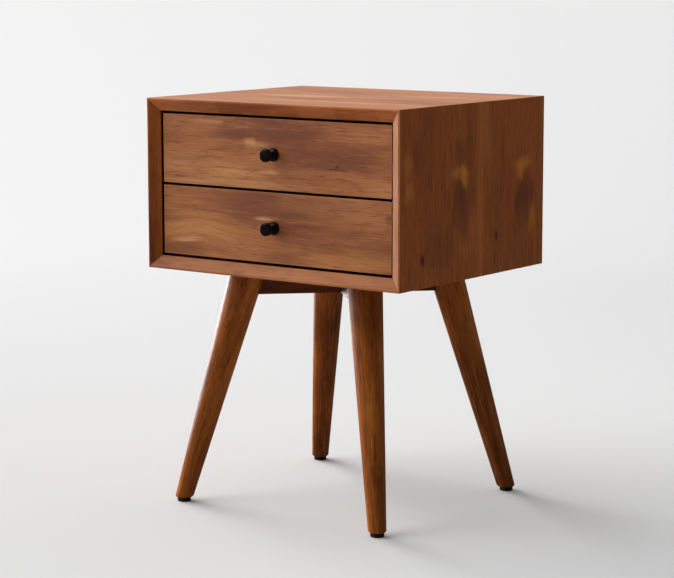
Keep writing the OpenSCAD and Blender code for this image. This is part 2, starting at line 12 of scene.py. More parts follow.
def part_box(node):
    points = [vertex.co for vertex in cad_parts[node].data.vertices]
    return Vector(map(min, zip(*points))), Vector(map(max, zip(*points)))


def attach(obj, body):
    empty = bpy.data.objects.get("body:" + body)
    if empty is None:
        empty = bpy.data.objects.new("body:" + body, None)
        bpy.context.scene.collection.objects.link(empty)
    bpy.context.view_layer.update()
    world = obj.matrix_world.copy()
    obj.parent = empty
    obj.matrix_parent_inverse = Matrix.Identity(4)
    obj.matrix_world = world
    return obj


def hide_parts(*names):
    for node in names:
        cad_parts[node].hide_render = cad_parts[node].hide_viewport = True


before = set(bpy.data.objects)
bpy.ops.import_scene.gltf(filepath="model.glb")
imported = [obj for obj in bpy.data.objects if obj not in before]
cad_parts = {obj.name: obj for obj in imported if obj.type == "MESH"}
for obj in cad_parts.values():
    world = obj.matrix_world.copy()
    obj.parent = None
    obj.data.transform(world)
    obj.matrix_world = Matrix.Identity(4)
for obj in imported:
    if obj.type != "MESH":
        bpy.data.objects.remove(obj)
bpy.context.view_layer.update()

# Profile of the front edge of the case: a flat strip, then a bevel down to the drawers
LAND = 0.003
BEVEL_DEPTH = 0.010
# Radius of the eased edges: outer edges of the case, drawer fronts, boards of the boxes, rails
CASE_ARRIS = 0.0009
FRONT_ARRIS = 0.0005
BOX_ARRIS = 0.0004
RAIL_ARRIS = 0.0015
# Half the hairline that shows where two case panels meet in a mitre
MITRE_HAIR = 0.00006
# How far a leg leans out from its top to the floor, and its diameters square to its own line.
# It is turned longer than it stands, and then cut level at both ends
LEG_RUN = (0.074, 0.0715)
LEG_TOP_D = 0.0524
LEG_FOOT_D = 0.026
LEG_OVER = 0.014
FOOT_CHAMFER = 0.003
# Turned knob
KNOB_NECK_D = 0.009
KNOB_FOOT_T = 0.003
KNOB_HEAD_T = 0.0065
KNOB_ROUND = 0.0022
KNOB_BACK_EASE = 0.0012
KNOB_FOOT_EASE = 0.001
KNOB_FILLET = 0.002
# Glide under a foot
GLIDE_EASE = 0.001
NAIL_HEAD_D = 0.006
NAIL_SINK = 0.002

# Two points closer than this are one, and a point closer than this to a plane or an axis is on it
SAME = 1e-6
TOUCHING = 1e-7
# Sides of the turned pieces
LEG_SIDES = 96
KNOB_SIDES = 96
GLIDE_SIDES = 64
# Angle in degrees past which an edge of a turned piece stays sharp
SHARP = 30
# In a copied board, faces that turn less than the first angle are one, and edges that turn more
# than the second and are longer than the board's own limit are eased
FLAT = 1
CORNER = 60
BOX_SHORTEST = 0.006
RAIL_SHORTEST = 0.05

CASE_PANELS = ("top_panel", "bottom_panel", "left_side", "right_side")
CORNERS = {"front_left": (-1, -1), "front_right": (1, -1), "back_left": (-1, 1), "back_right": (1, 1)}
DRAWERS = ("upper", "lower")


# ---------------------------------------------------------------- nodes of the materials


def srgb(red, green, blue):
    """A colour given in screen values from 0 to 255, as the linear colour that shaders take."""
    def linear(value):
        share = value / 255
        return share / 12.92 if share <= 0.04045 else ((share + 0.055) / 1.055) ** 2.4
    return (linear(red), linear(green), linear(blue), 1.0)


def add(tree, kind, inputs=None, **settings):
    """Adds a shader node, makes its settings, and sets or joins its inputs."""
    node = tree.nodes.new("ShaderNode" + kind)
    for key, value in settings.items():
        setattr(node, key, value)
    for key, value in (inputs or {}).items():
        if isinstance(value, bpy.types.NodeSocket):
            tree.links.new(value, node.inputs[key])
        else:
            node.inputs[key].default_value = value
    return node


def calc(tree, operation, *values, clamp=False):
    """A number worked out from other numbers."""
    inputs = dict(enumerate(values))
    return add(tree, "Math", inputs, operation=operation, use_clamp=clamp).outputs[0]


def vector_calc(tree, operation, *values):
    """A vector worked out from other vectors."""
    return add(tree, "VectorMath", dict(enumerate(values)), operation=operation).outputs[0]


def blend(tree, factor, low, high, blend_type="MIX"):
    """A colour between two others."""
    node = add(tree, "Mix", {0: factor, 6: low, 7: high}, data_type="RGBA", blend_type=blend_type)
    return node.outputs[2]


def between(tree, value, low, high, to_low=0.0, to_high=1.0):
    """A value from low to high turned into one from to_low to to_high, with soft ends."""
    inputs = {"Value": value, "From Min": low, "From Max": high, "To Min": to_low, "To Max": to_high}
    return add(tree, "MapRange", inputs, interpolation_type="SMOOTHSTEP").outputs[0]


def noise(tree, vector, scale, detail=2.0, roughness=0.5):
    """Noise from 0 to 1, with its own scale along each axis."""
    place = vector_calc(tree, "MULTIPLY", vector, scale)
    inputs = {"Vector": place, "Scale": 1.0, "Detail": detail, "Roughness": roughness}
    return add(tree, "TexNoise", inputs).outputs[0]


def group(name, inputs, outputs):
    """A new node group with the given sockets; returns its tree, its inputs and its output node."""
    tree = bpy.data.node_groups.new(name, "ShaderNodeTree")
    kinds = {"vector": "NodeSocketVector", "colour": "NodeSocketColor", "value": "NodeSocketFloat"}
    for socket, kind in inputs.items():
        tree.interface.new_socket(socket, in_out="INPUT", socket_type=kinds[kind])
    for socket, kind in outputs.items():
        tree.interface.new_socket(socket, in_out="OUTPUT", socket_type=kinds[kind])
    return tree, tree.nodes.new("NodeGroupInput").outputs, tree.nodes.new("NodeGroupOutput")


def along(tree, vector, direction):
    """How far a vector reaches in a direction."""
    return add(tree, "VectorMath", {0: vector, 1: direction}, operation="DOT_PRODUCT").outputs["Value"]


def relieve(tree, shader, height, strength, distance):
    """Fine relief on a surface, as deep as the distance."""
    bump = add(tree, "Bump", {"Height": height, "Strength": strength, "Distance": distance})
    tree.links.new(bump.outputs[0], shader.inputs["Normal"])


def put_out(tree, output, **sockets):
    """Joins the results of a group to its outputs."""
    for name, source in sockets.items():
        tree.links.new(source, output.inputs[name])
    return tree


def use(tree, node_tree, **inputs):
    """Places a node group and returns its outputs."""
    named = {key.replace("_", " "): value for key, value in inputs.items()}
    return add(tree, "Group", named, node_tree=node_tree).outputs


def centred(tree, value):
    """A noise from 0 to 1 as a number from -0.5 to 0.5."""
    return calc(tree, "SUBTRACT", value, 0.5)


# Fringe of a spot, in repeats over its reach, and unevenness of a rubbed edge, in repeats a metre
FRINGE = (1.1, 1.6, 1.0)
RUBBING = (60, 60, 60)


def make_patch_group():
    """A spot with a ragged fringe, drawn out along the grain: 1 in its middle, 0 outside."""
    tree, given, output = group(
        "Patch", {"Vector": "vector", "Centre": "vector", "Reach": "vector", "Ragged": "value"},
        {"Mask": "value"})
    offset = vector_calc(tree, "SUBTRACT", given["Vector"], given["Centre"])
    away = vector_calc(tree, "DIVIDE", offset, given["Reach"])
    distance = add(tree, "VectorMath", {0: away}, operation="LENGTH").outputs["Value"]
    # The fringe of each spot is drawn from another part of the noise
    apart = vector_calc(tree, "ADD", away, vector_calc(tree, "MULTIPLY", given["Centre"], (90, 90, 0)))
    fringe = noise(tree, apart, FRINGE, detail=6, roughness=0.68)
    ragged = calc(tree, "MULTIPLY_ADD", centred(tree, fringe), given["Ragged"], distance)
    return put_out(tree, output, Mask=between(tree, ragged, 1.0, 0.25))


def make_swerve_group():
    """Bends the grain lines round a knot, or up and over as an arch."""
    tree, given, output = group(
        "Grain swerve", {"Vector": "vector", "Centre": "vector", "Reach": "vector", "Spread": "value",
                         "Arch": "value"},
        {"Vector": "vector"})
    offset = vector_calc(tree, "SUBTRACT", given["Vector"], given["Centre"])
    away = vector_calc(tree, "DIVIDE", offset, given["Reach"])
    squared = along(tree, away, away)
    near = calc(tree, "POWER", math.e, calc(tree, "MULTIPLY", squared, -1.0))
    across = add(tree, "SeparateXYZ", {0: offset}).outputs["Y"]
    spread = calc(tree, "MULTIPLY", calc(tree, "MULTIPLY", across, given["Spread"]), near)
    arch = calc(tree, "MULTIPLY", given["Arch"], near)
    shift = calc(tree, "MULTIPLY", calc(tree, "ADD", spread, arch), -1.0)
    moved = add(tree, "CombineXYZ", {"Y": shift}).outputs[0]
    return put_out(tree, output, Vector=vector_calc(tree, "ADD", given["Vector"], moved))


# Repeats of the wood's figure in a metre: along the grain, then twice across it
WAVES = (2.2, 7, 7)
RIPPLES = (15, 38, 38)
CLOUDS = (3.2, 15, 15)
STREAKS = (6, 105, 105)
BANDS = (14, 300, 300)
FIBRES = (34, 620, 620)
DASHES = (34, 430, 430)
PORES = (75, 1500, 1500)
GROWTH_LINES = 26.0
# How far the waves and the ripples carry the grain sideways, in metres
WAVE_HEIGHT = 0.018
RIPPLE_HEIGHT = 0.0012


def waving_grain(tree, vector, seed):
    """A board's frame moved to a place of its own in the noise, its grain waving a little."""
    shift = add(tree, "CombineXYZ", {0: seed, 1: seed}).outputs[0]
    shifted = vector_calc(tree, "ADD", vector, shift)
    wave = centred(tree, noise(tree, shifted, WAVES))
    ripple = centred(tree, noise(tree, shifted, RIPPLES))
    bend = calc(tree, "ADD", calc(tree, "MULTIPLY", wave, WAVE_HEIGHT),
                calc(tree, "MULTIPLY", ripple, RIPPLE_HEIGHT))
    return vector_calc(tree, "ADD", shifted, add(tree, "CombineXYZ", {"Y": bend, "Z": bend}).outputs[0])


def growth_lines(tree, vector):
    """Thin dark lines across the grain, sharp on one side."""
    rings = add(tree, "TexWave", {"Vector": vector, "Scale": GROWTH_LINES, "Distortion": 3.0,
                                  "Detail": 2.0, "Detail Scale": 0.35, "Detail Roughness": 0.5},
                wave_type="BANDS", bands_direction="Y", wave_profile="SAW").outputs["Fac"]
    return calc(tree, "POWER", rings, 5.0)


def make_figure_group():
    """Figure of a sawn board whose grain runs along X: clouds, streaks, growth lines, fibres, pores."""
    tree, given, output = group(
        "Board figure",
        {"Vector": "vector", "Seed": "value", "Pale": "colour", "Middle": "colour", "Dark": "colour",
         "Lines": "value", "Clouds": "value"},
        {"Color": "colour", "Fibre": "value", "Streak": "value", "Height": "value"})
    bent = waving_grain(tree, given["Vector"], given["Seed"])
    clouds = noise(tree, bent, CLOUDS, detail=3, roughness=0.55)
    streaks = noise(tree, bent, STREAKS, detail=5, roughness=0.65)
    bands = noise(tree, bent, BANDS, detail=4, roughness=0.7)
    fibres = noise(tree, bent, FIBRES, detail=3, roughness=0.65)
    dashes = between(tree, noise(tree, bent, DASHES), 0.60, 0.70)
    pore = between(tree, noise(tree, bent, PORES, detail=1), 0.66, 0.74)
    line = calc(tree, "MULTIPLY", growth_lines(tree, bent), given["Lines"])

    murk = calc(tree, "MULTIPLY", between(tree, clouds, 0.52, 0.34), given["Clouds"])
    light = calc(tree, "MULTIPLY", between(tree, clouds, 0.50, 0.72), given["Clouds"])
    body = blend(tree, light, blend(tree, murk, given["Middle"], given["Dark"]), given["Pale"])
    tone = calc(tree, "MULTIPLY", centred(tree, streaks), 0.9)
    tone = calc(tree, "MULTIPLY_ADD", centred(tree, bands), 0.9, tone)
    tone = calc(tree, "MULTIPLY_ADD", centred(tree, fibres), 1.0, tone)
    tone = calc(tree, "MULTIPLY_ADD", line, -0.10, tone)
    body = blend(tree, between(tree, tone, 0.0, 0.42, 0.0, 0.75), body, given["Pale"])
    body = blend(tree, between(tree, tone, 0.0, -0.42, 0.0, 0.85), body, given["Dark"])
    deep = blend(tree, 1.0, given["Dark"], (0.5, 0.42, 0.4, 1), "MULTIPLY")
    body = blend(tree, calc(tree, "MULTIPLY", dashes, 0.55), body, deep)
    body = blend(tree, calc(tree, "MULTIPLY", pore, 0.45), body, deep)
    relief = calc(tree, "SUBTRACT", calc(tree, "MULTIPLY", fibres, 0.5), pore)
    return put_out(tree, output, Color=body, Fibre=fibres, Streak=bands, Height=relief)


def make_rub_group():
    """Marks the edges of a board of the given half size, where the finish is thinnest."""
    tree, given, output = group(
        "Edge rub", {"Vector": "vector", "Half Size": "vector", "Width": "value"}, {"Mask": "value"})
    inside = vector_calc(tree, "SUBTRACT", given["Half Size"],
                         add(tree, "VectorMath", {0: given["Vector"]}, operation="ABSOLUTE").outputs[0])
    x, y, z = add(tree, "SeparateXYZ", {0: inside}).outputs[:3]
    nearest = calc(tree, "MINIMUM", calc(tree, "MINIMUM", x, y), z)
    farthest = calc(tree, "MAXIMUM", calc(tree, "MAXIMUM", x, y), z)
    total = calc(tree, "ADD", calc(tree, "ADD", x, y), z)
    second = calc(tree, "SUBTRACT", calc(tree, "SUBTRACT", total, nearest), farthest)
    uneven = noise(tree, given["Vector"], RUBBING, detail=3)
    reach = calc(tree, "MULTIPLY", given["Width"], calc(tree, "MULTIPLY_ADD", uneven, 1.6, 0.2))
    return put_out(tree, output, Mask=between(tree, calc(tree, "DIVIDE", second, reach), 1.0, 0.3))


def make_stave_group():
    """Short lengths of wood joined end to end along X: a tone for each, and the joint lines."""
    tree, given, output = group(
        "Staves", {"Vector": "vector", "Count": "value", "Seed": "value"},
        {"Tone": "value", "Joint": "value"})
    x = add(tree, "SeparateXYZ", {0: given["Vector"]}).outputs["X"]
    along = calc(tree, "MULTIPLY", calc(tree, "ADD", x, given["Seed"]), given["Count"])
    cells = add(tree, "TexVoronoi", {"W": along, "Scale": 1.0, "Randomness": 0.8},
                voronoi_dimensions="1D", feature="F1").outputs["Color"]
    tone = add(tree, "SeparateColor", {0: cells}).outputs[0]
    edge = add(tree, "TexVoronoi", {"W": along, "Scale": 1.0, "Randomness": 0.8},
               voronoi_dimensions="1D", feature="DISTANCE_TO_EDGE").outputs["Distance"]
    return put_out(tree, output, Tone=tone, Joint=between(tree, edge, 0.014, 0.0))


def make_speckle_group():
    """Fine uneven gloss and relief of a hard surface."""
    tree, given, output = group(
        "Speckle", {"Vector": "vector", "Size": "value"}, {"Fine": "value", "Coarse": "value"})
    scale = calc(tree, "DIVIDE", 1.0, given["Size"])
    fine = add(tree, "TexNoise", {"Vector": given["Vector"], "Scale": scale, "Detail": 3.0}).outputs[0]
    coarse = add(tree, "TexNoise", {"Vector": given["Vector"], "Scale": calc(tree, "MULTIPLY", scale, 0.12),
                                    "Detail": 2.0}).outputs[0]
    return put_out(tree, output, Fine=fine, Coarse=coarse)


PATCH = make_patch_group()
SWERVE = make_swerve_group()
FIGURE = make_figure_group()
RUB = make_rub_group()
STAVES = make_stave_group()
SPECKLE = make_speckle_group()


# ---------------------------------------------------------------- materials


def new_material(name):
    """An empty material with its shader, and the tree to build it in."""
    material = bpy.data.materials.new(name)
    material.use_nodes = True
    tree = material.node_tree
    tree.nodes.clear()
    shader = add(tree, "BsdfPrincipled")
    output = add(tree, "OutputMaterial")
    tree.links.new(shader.outputs[0], output.inputs["Surface"])
    return material, tree, shader


def board_place(tree, centre, turn):
    """Object coordinates from the middle of a board, turned so that X runs along its grain."""
    place = add(tree, "TexCoord").outputs["Object"]
    inputs = {"Vector": place, "Location": centre, "Rotation": turn}
    return add(tree, "Mapping", inputs, vector_type="TEXTURE").outputs[0]


ALONG_X = (0, 0, 0)
ALONG_Y = (0, 0, math.pi / 2)
ALONG_Z = (0, -math.pi / 2, 0)
# A board that stands with its face to the front, its grain along X
FACING = (math.pi / 2, 0, 0)
# Turns a frame whose Z runs along a leg into one whose X does
UPRIGHT = Matrix(((0, 0, -1), (0, 1, 0), (1, 0, 0)))

# Width of the edge where the finish is rubbed thin, and how much of the pale tone shows there
RUB_WIDTH = 0.0012
RUB_PALE = 0.5
# How much of the pale tone a stave can take, and how much of the dark one a joint takes
STAVE_PALE = 0.35
JOINT_DARK = 0.2


def swerved(tree, place, swerves):
    """A board's frame with its grain bent by the given swerves."""
    for x, y, reach_x, reach_y, spread, arch in swerves:
        place = use(tree, SWERVE, Vector=place, Centre=(x, y, 0), Reach=(reach_x, reach_y, 1),
                    Spread=spread, Arch=arch)[0]
    return place


def marked(tree, colour, place, streak, marks):
    """The colour with the listed marks on it, each broken up by the streaks of the wood."""
    grainy = between(tree, streak, 0.3, 0.7, 0.5, 1.2)
    for tint, x, y, reach_x, reach_y, ragged, strength in marks:
        mask = use(tree, PATCH, Vector=place, Centre=(x, y, 0), Reach=(reach_x, reach_y, 1),
                   Ragged=ragged)["Mask"]
        mask = calc(tree, "MULTIPLY", calc(tree, "MULTIPLY", mask, strength), grainy, clamp=True)
        colour = blend(tree, mask, colour, tint)
    return colour


def wood(name, tones, centre, turn, seed, half_size=None, lines=1.0, swerves=(), marks=(), staves=None,
         gloss=0.44, shine=0.25, clouds=1.0):
    """Lacquered wood. The given marks and swerves lie flat in the board's own frame, X along
    the grain: a mark is (tint, x, y, reach x, reach y, raggedness, strength) and a swerve, which
    bends the grain, is (x, y, reach x, reach y, spread, arch). Staves are counted in a metre."""
    material, tree, shader = new_material(name)
    place = board_place(tree, centre, turn)
    bent = swerved(tree, place, swerves)
    pale, middle, dark = tones
    figure = use(tree, FIGURE, Vector=bent, Seed=seed, Pale=pale, Middle=middle, Dark=dark, Lines=lines,
                 Clouds=clouds)
    colour = marked(tree, figure["Color"], bent, figure["Streak"], marks)
    if staves:
        stave = use(tree, STAVES, Vector=place, Count=staves, Seed=seed)
        shade = between(tree, stave["Tone"], 0.0, 1.0)
        colour = blend(tree, calc(tree, "MULTIPLY", shade, STAVE_PALE), colour, pale)
        colour = blend(tree, calc(tree, "MULTIPLY", stave["Joint"], JOINT_DARK), colour, dark)
    if half_size:
        worn = use(tree, RUB, Vector=place, Half_Size=half_size, Width=RUB_WIDTH)["Mask"]
        colour = blend(tree, calc(tree, "MULTIPLY", worn, RUB_PALE), colour, pale)
    tree.links.new(colour, shader.inputs["Base Color"])
    sheen = between(tree, figure["Fibre"], 0.25, 0.75, gloss + 0.06, gloss - 0.05)
    tree.links.new(sheen, shader.inputs["Roughness"])
    relieve(tree, shader, figure["Height"], 0.35, 0.00012)
    shader.inputs["Specular IOR Level"].default_value = shine
    return material


# Tones of the wood, from pale to dark
FRONT_TONES = (srgb(212, 142, 90), srgb(184, 112, 64), srgb(140, 78, 46))
TOP_TONES = (srgb(212, 140, 84), srgb(194, 120, 66), srgb(162, 92, 48))
# The right side's tones, darker and more saturated than the others: the wood's colour with painted shade in
# it
SHADED_SIDE_TONES = (srgb(206, 120, 44), srgb(180, 96, 29), srgb(146, 70, 22))
LEG_TONES = (srgb(210, 126, 50), srgb(158, 84, 28), srgb(88, 42, 14))
RAIL_TONES = (srgb(140, 72, 36), srgb(112, 56, 27), srgb(82, 38, 18))
LIP_TONES = {
    "top_panel": (srgb(220, 134, 76), srgb(196, 110, 56), srgb(156, 80, 38)),
    "bottom_panel": (srgb(204, 128, 74), srgb(182, 110, 58), srgb(150, 84, 42)),
    "left_side": (srgb(186, 102, 42), srgb(160, 80, 27), srgb(118, 56, 20)),
    "right_side": (srgb(200, 130, 80), srgb(172, 102, 57), srgb(134, 72, 38)),
}
CASE_TONES = {
    "top_panel": TOP_TONES,
    "bottom_panel": TOP_TONES,
    "left_side": (srgb(176, 106, 60), srgb(152, 86, 46), srgb(116, 64, 34)),
    # The right side takes the tones with painted shade in them
    "right_side": SHADED_SIDE_TONES,
}
# Near-black browns for the case's inner faces and the drawer fronts' edges: painted shade of the gaps round
# the drawers
GAP_SHADE_TONES = (srgb(70, 44, 30), srgb(54, 33, 24), srgb(38, 22, 17))
BOX_TONES = (srgb(222, 190, 150), srgb(206, 170, 128), srgb(178, 138, 98))
PLY_TONES = (srgb(210, 172, 128), srgb(190, 150, 106), srgb(156, 114, 76))

# Tints of the listed figure
GOLD = srgb(226, 158, 84)
CREAM = srgb(228, 166, 112)
PLUM = srgb(128, 70, 46)
KNOT = srgb(56, 28, 16)
SIDE_GOLD = srgb(238, 146, 46)
SIDE_AMBER = srgb(210, 124, 50)
SIDE_PLUM = srgb(134, 62, 32)
SIDE_SHADE = srgb(118, 66, 28)


def black_lacquer():
    """Gloss black lacquer over turned metal."""
    material, tree, shader = new_material("gloss_black_metal")
    place = add(tree, "TexCoord").outputs["Object"]
    grains = use(tree, SPECKLE, Vector=place, Size=0.0008)
    colour = blend(tree, grains["Coarse"], srgb(16, 10, 6), srgb(28, 18, 10))
    tree.links.new(colour, shader.inputs["Base Color"])
    sheen = between(tree, grains["Coarse"], 0.3, 0.7, 0.10, 0.16)
    tree.links.new(sheen, shader.inputs["Roughness"])
    shader.inputs["Specular IOR Level"].default_value = 0.22
    relieve(tree, shader, grains["Fine"], 0.12, 0.00005)
    return material


def black_plastic():
    """Moulded black plastic with a fine matt grain."""
    material, tree, shader = new_material("matt_black_plastic")
    place = add(tree, "TexCoord").outputs["Object"]
    grains = use(tree, SPECKLE, Vector=place, Size=0.0005)
    colour = blend(tree, grains["Coarse"], srgb(18, 18, 18), srgb(32, 31, 30))
    tree.links.new(colour, shader.inputs["Base Color"])
    tree.links.new(between(tree, grains["Coarse"], 0.3, 0.7, 0.45, 0.6), shader.inputs["Roughness"])
    relieve(tree, shader, grains["Fine"], 0.3, 0.0001)
    return material


def steel(name, pale, dark, smooth, rough, grain):
    """Plated steel with a faint rolled grain along the slides."""
    material, tree, shader = new_material(name)
    place = add(tree, "TexCoord").outputs["Object"]
    grains = use(tree, SPECKLE, Vector=place, Size=0.004)
    rolled = noise(tree, place, grain, detail=3)
    shade = calc(tree, "MULTIPLY_ADD", rolled, 0.6, calc(tree, "MULTIPLY", grains["Coarse"], 0.4))
    colour = blend(tree, between(tree, shade, 0.35, 0.65), dark, pale)
    tree.links.new(colour, shader.inputs["Base Color"])
    shader.inputs["Metallic"].default_value = 1.0
    tree.links.new(between(tree, shade, 0.3, 0.7, smooth, rough), shader.inputs["Roughness"])
    relieve(tree, shader, rolled, 0.15, 0.00005)
    return material


# ---------------------------------------------------------------- helpers for the pieces


def finish_piece(name, mesh, body, nodes, materials, round_angle=None):
    """Makes the object, hands it to its body and hides the CAD nodes that it stands for."""
    data = bpy.data.meshes.new(name)
    mesh.to_mesh(data)
    mesh.free()
    piece = bpy.data.objects.new(name, data)
    bpy.context.scene.collection.objects.link(piece)
    for material in materials:
        data.materials.append(material)
    if round_angle:
        data.polygons.foreach_set("use_smooth", [True] * len(data.polygons))
        data.set_sharp_from_angle(angle=math.radians(round_angle))
    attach(piece, body)
    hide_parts(*nodes)


def middle_of(node):
    """The middle of a CAD node's box and half its size."""
    low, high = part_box(node)
    return (low + high) / 2, (high - low) / 2


def round_edges(mesh, edges, radius, steps=3):
    """Rounds edges in a few flat steps."""
    bmesh.ops.bevel(mesh, geom=edges, offset=radius, offset_type="OFFSET", segments=steps,
                    profile=0.5, affect="EDGES", clamp_overlap=True, material=-1)


def cut(mesh, point, normal):
    """Cuts away what lies beyond a plane and closes the mesh there."""
    geometry = mesh.verts[:] + mesh.edges[:] + mesh.faces[:]
    found = bmesh.ops.bisect_plane(mesh, geom=geometry, dist=TOUCHING, plane_co=point, plane_no=normal,
                                   clear_outer=True)
    edges = [e for e in found["geom_cut"] if isinstance(e, bmesh.types.BMEdge)]
    bmesh.ops.holes_fill(mesh, edges=edges, sides=0)


def eased_copy(node, radius, shortest):
    """A merged copy of a CAD node with its long outward edges rounded."""
    mesh = bmesh.new()
    mesh.from_mesh(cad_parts[node].data)
    bmesh.ops.remove_doubles(mesh, verts=mesh.verts, dist=SAME)
    bmesh.ops.dissolve_limit(mesh, angle_limit=math.radians(FLAT), verts=mesh.verts, edges=mesh.edges)
    edges = [e for e in mesh.edges if len(e.link_faces) == 2 and e.is_convex
             and e.calc_face_angle() > math.radians(CORNER) and e.calc_length() > shortest]
    round_edges(mesh, edges, radius, steps=2)
    return mesh


# ---------------------------------------------------------------- case

# Figure of the case panels, listed mark by mark
CASE_FIGURES = {
    "top_panel": {"marks": [
        (CREAM, -0.060, -0.020, 0.105, 0.031, 1.4, 0.7),
        (CREAM, 0.040, -0.110, 0.154, 0.017, 1.4, 0.5),
        (CREAM, 0.120, 0.060, 0.112, 0.022, 1.4, 0.5),
    ]},
    "right_side": {
        "marks": [
            (SIDE_AMBER, 0.000, 0.014, 0.420, 0.014, 1.0, 0.6),
            (SIDE_AMBER, 0.080, 0.030, 0.084, 0.020, 1.4, 0.6),
            (SIDE_AMBER, -0.060, -0.020, 0.056, 0.042, 1.6, 0.5),
            (SIDE_PLUM, -0.024, -0.034, 0.070, 0.040, 1.2, 0.95),
            (SIDE_PLUM, 0.056, -0.037, 0.034, 0.025, 1.4, 0.6),
            (SIDE_PLUM, -0.018, 0.136, 0.060, 0.042, 1.2, 0.95),
            (SIDE_PLUM, 0.060, -0.150, 0.042, 0.022, 1.4, 0.5),
            (SIDE_SHADE, 0.002, -0.046, 0.040, 0.022, 1.4, 0.7),
            (SIDE_SHADE, -0.022, 0.120, 0.044, 0.020, 1.4, 0.6),
            (SIDE_SHADE, -0.075, -0.090, 0.050, 0.060, 1.6, 0.4),
            (SIDE_GOLD, 0.030, -0.045, 0.014, 0.031, 1.6, 0.7),
            (SIDE_GOLD, 0.019, -0.030, 0.021, 0.017, 1.6, 0.7),
            (SIDE_GOLD, 0.030, 0.130, 0.013, 0.034, 1.6, 0.7),
            (SIDE_GOLD, 0.020, 0.118, 0.017, 0.014, 1.6, 0.7),
            (SIDE_GOLD, 0.048, -0.170, 0.031, 0.018, 1.4, 0.5),
            (SIDE_GOLD, 0.012, -0.168, 0.022, 0.018, 1.4, 0.5),
            (SIDE_GOLD, -0.050, 0.158, 0.039, 0.014, 1.8, 0.5),
            (KNOT, -0.087, -0.135, 0.013, 0.011, 1.2, 1.0),
            (KNOT, -0.070, 0.058, 0.011, 0.010, 1.2, 1.0),
        ],
        "swerves": [
            (-0.087, -0.135, 0.026, 0.016, -0.55, 0.0),
            (-0.070, 0.058, 0.024, 0.014, -0.55, 0.0),
            (0.010, -0.036, 0.040, 0.030, -0.30, 0.006),
            (0.010, 0.130, 0.040, 0.030, -0.30, 0.006),
        ],
    },
}


# Places of the materials on a case panel and on a drawer front. The inner faces of a panel and the edges of
# a front take painted shade
VENEER, EDGE, INSIDE = 0, 1, 2
# Parts of a face's normal: past the first two a panel's face looks inward or forward, and below
# the third a face of a drawer front belongs to its edge, which takes painted shade
INWARD = 0.5
FORWARD = 0.35
FRONT_ON = 0.85


def drawn_out(mesh, edges, half_x, half_z, middle, y):
    """Extrudes a ring of edges and sets its corners on a new upright rectangle."""
    grown = bmesh.ops.extrude_edge_only(mesh, edges=edges)["geom"]
    corners = [v for v in grown if isinstance(v, bmesh.types.BMVert)]
    for corner in corners:
        corner.co.x = middle.x + math.copysign(half_x, corner.co.x - middle.x)
        corner.co.y = y
        corner.co.z = middle.z + math.copysign(half_z, corner.co.z - middle.z)
    return [e for e in grown if isinstance(e, bmesh.types.BMEdge) and all(v in corners for v in e.verts)]


def case_ring():
    """The whole case as one square tube: bevelled in front, rebated at the back, edges eased."""
    low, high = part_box("bottom_panel")[0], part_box("top_panel")[1]
    back_low, back_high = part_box("back_panel")
    middle, half = (low + high) / 2, (high - low) / 2
    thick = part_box("left_side")[1].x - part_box("left_side")[0].x
    lap = thick - (half.x - (back_high.x - back_low.x) / 2)
    mouth = low.y + BEVEL_DEPTH
    steps = [(0, low.y), (LAND, low.y), (thick, mouth), (thick, back_low.y),
             (thick - lap, back_low.y), (thick - lap, high.y), (0, high.y)]
    mesh = bmesh.new()
    start = bmesh.ops.create_grid(mesh, x_segments=1, y_segments=1, size=1)["verts"]
    for corner in start:
        corner.co = (middle.x + corner.co.x * half.x, high.y, middle.z + corner.co.y * half.z)
    edges = mesh.edges[:]
    bmesh.ops.delete(mesh, geom=mesh.faces[:], context="FACES_ONLY")
    for inset, y in steps:
        edges = drawn_out(mesh, edges, half.x - inset, half.z - inset, middle, y)
    bmesh.ops.remove_doubles(mesh, verts=mesh.verts, dist=SAME)
    bmesh.ops.recalc_face_normals(mesh, faces=mesh.faces)
    outside = {v for v in mesh.verts if abs(abs(v.co.x - middle.x) - half.x) < SAME}
    opening = {v for v in mesh.verts if abs(v.co.y - mouth) < SAME}
    round_edges(mesh, [e for e in mesh.edges if outside.issuperset(e.verts)
                       or opening.issuperset(e.verts)], CASE_ARRIS)
    return mesh, middle, half


def case_panel(ring, middle, half, node):
    """One of the four panels, cut out of the ring along its mitres."""
    mesh = ring.copy()
    lying = node in ("top_panel", "bottom_panel")
    side = 1 if node in ("top_panel", "right_side") else -1
    outward = Vector((0, 0, side)) if lying else Vector((side, 0, 0))
    sideways = Vector((1, 0, 0)) if lying else Vector((0, 0, 1))
    corner = middle + outward * (half.z if lying else half.x)
    reach = half.x if lying else half.z
    for end in (-1, 1):
        away = (sideways * end - outward).normalized()
        cut(mesh, corner + sideways * end * reach - away * MITRE_HAIR, away)
    for face in mesh.faces:
        inward = face.normal.dot(outward) < -INWARD
        face.material_index = EDGE if face.normal.y < -FORWARD else INSIDE if inward else VENEER
    return mesh


def make_case():
    """Each panel has its veneer, its lipping on the front edge, and an inner face darkened with painted
    shade.
    """
    ring, middle, half = case_ring()
    for number, node in enumerate(CASE_PANELS):
        upright = node.endswith("side")
        turn = ALONG_Z if upright else ALONG_X
        size = (half.z, half.y, half.x) if upright else tuple(half)
        face = wood(f"{node}_veneer", CASE_TONES[node], middle, turn, seed=3.1 + 1.7 * number,
                    half_size=size, clouds=0.35 if upright else 0.8, **CASE_FIGURES.get(node, {}))
        lip = wood(f"{node}_lipping", LIP_TONES[node], middle, turn, seed=9.3 + 2.3 * number, staves=14,
                   half_size=size)
        # The inner faces take painted shade
        inside = wood(f"{node}_inside", GAP_SHADE_TONES, middle, turn, seed=2.7 + number, gloss=0.6)
        mesh = case_panel(ring, middle, half, node)
        finish_piece(f"{node}_wood", mesh, "case", [node], [face, lip, inside])
    ring.free()
